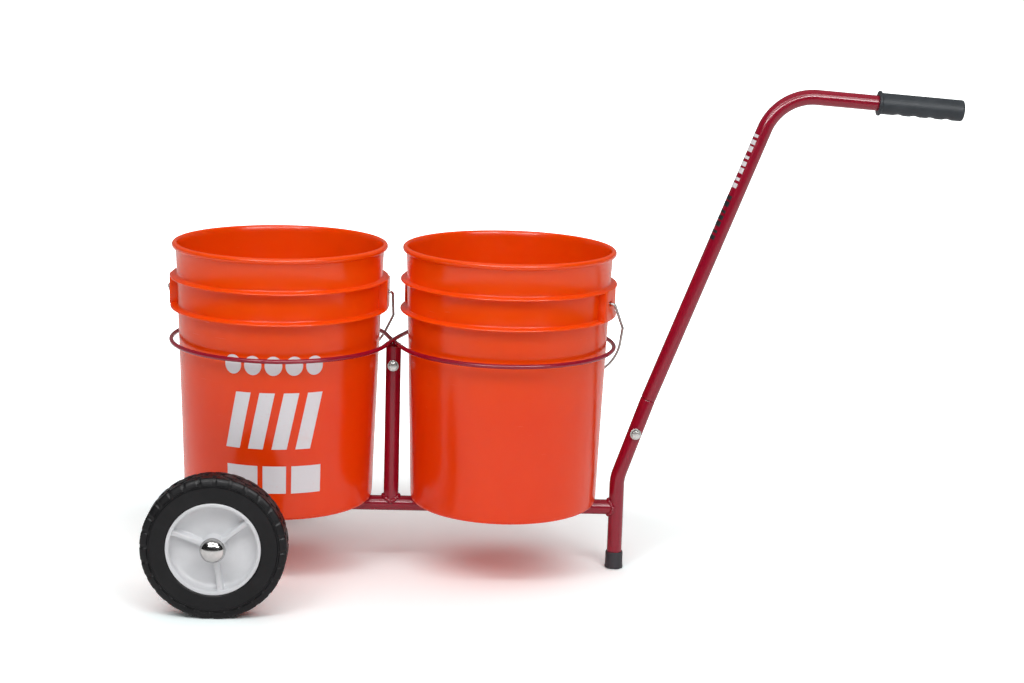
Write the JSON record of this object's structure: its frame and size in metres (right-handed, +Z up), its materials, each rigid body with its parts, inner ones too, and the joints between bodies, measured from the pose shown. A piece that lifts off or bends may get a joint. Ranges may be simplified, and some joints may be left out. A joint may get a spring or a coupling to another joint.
{
  "type": "two-bucket wash cart",
  "caption": "Wheeled wash cart: welded tube frame with a rod hoop round each five-gallon bail bucket, wheels at one end, a foot and a bent draw handle at the other",
  "frame": {"origin": "on the floor, at the middle of the cart's bounding box", "axes": "+X from the wheels to the handle grip, +Y across the cart, +Z up; left is the -Y side, seen by a person standing at the handle"},
  "size_m": [1.116, 0.5276, 0.7037],
  "materials": {
    "frame_enamel": "gloss crimson enamel on steel tube and rod",
    "zinc_steel": "zinc-plated steel",
    "cap_chrome": "polished push-on cap",
    "black_rubber": "moulded black rubber",
    "grip_rubber": "moulded slate-grey rubber",
    "tyre_rubber": "semi-pneumatic tyre, block tread",
    "hub_plastic": "white moulded plastic",
    "bucket_plastic": "orange polyethylene, satin gloss",
    "bail_wire": "bright drawn wire",
    "bail_grip_plastic": "black moulded plastic"
  },
  "bodies": {
    "frame": {"spine_tube": "frame_enamel", "centre_post": "frame_enamel", "leg_tube": "frame_enamel", "foot_cap": "black_rubber", "axle_rod": "zinc_steel", "axle_collar_left": "zinc_steel", "axle_collar_right": "zinc_steel", "inner_washer_left": "zinc_steel", "inner_washer_right": "zinc_steel", "outer_washer_left": "zinc_steel", "outer_washer_right": "zinc_steel", "axle_cap_left": "cap_chrome", "axle_cap_right": "cap_chrome", "hoop_rod": "frame_enamel", "hoop_plug": "frame_enamel", "hoop_bolt": "zinc_steel", "hoop_washer": "zinc_steel", "hoop_nut": "zinc_steel", "handle_tube": "frame_enamel", "handle_spigot": "zinc_steel", "handle_bolt": "zinc_steel", "handle_washer": "zinc_steel", "handle_nut": "zinc_steel", "handle_grip": "grip_rubber"},
    "wheel_left": {"hub_left": "hub_plastic", "tyre_left": "tyre_rubber"},
    "wheel_right": {"hub_right": "hub_plastic", "tyre_right": "tyre_rubber"},
    "axle_bucket_body": {"axle_bucket": "bucket_plastic"},
    "handle_bucket_body": {"handle_bucket": "bucket_plastic"},
    "axle_bail_body": {"axle_bail": "bail_wire", "axle_bail_grip": "bail_grip_plastic"},
    "handle_bail_body": {"handle_bail": "bail_wire", "handle_bail_grip": "bail_grip_plastic"}
  },
  "joints": [
    {"name": "wheel_left_spin", "type": "hinge", "parent": "frame", "child": "wheel_left", "pos_m": [-0.4608, -0.2295, 0.0972], "axis": [0, 1, 0], "continuous": true},
    {"name": "wheel_right_spin", "type": "hinge", "parent": "frame", "child": "wheel_right", "pos_m": [-0.4608, 0.2295, 0.0972], "axis": [0, 1, 0], "continuous": true},
    {"name": "axle_bucket_lift", "type": "slide", "parent": "frame", "child": "axle_bucket_body", "axis": [0, 0, 1], "range_m": [0, 0.3]},
    {"name": "handle_bucket_lift", "type": "slide", "parent": "frame", "child": "handle_bucket_body", "axis": [0, 0, 1], "range_m": [0, 0.3]},
    {"name": "axle_bail_swing", "type": "hinge", "parent": "axle_bucket_body", "child": "axle_bail_body", "pos_m": [-0.3958, 0, 0.4033], "axis": [0.9976, -0.0698, 0], "range_deg": [0, 264]},
    {"name": "handle_bail_swing", "type": "hinge", "parent": "handle_bucket_body", "child": "handle_bail_body", "pos_m": [-0.0728, 0, 0.4033], "axis": [0.9135, -0.4067, 0], "range_deg": [0, 170]}
  ]
}
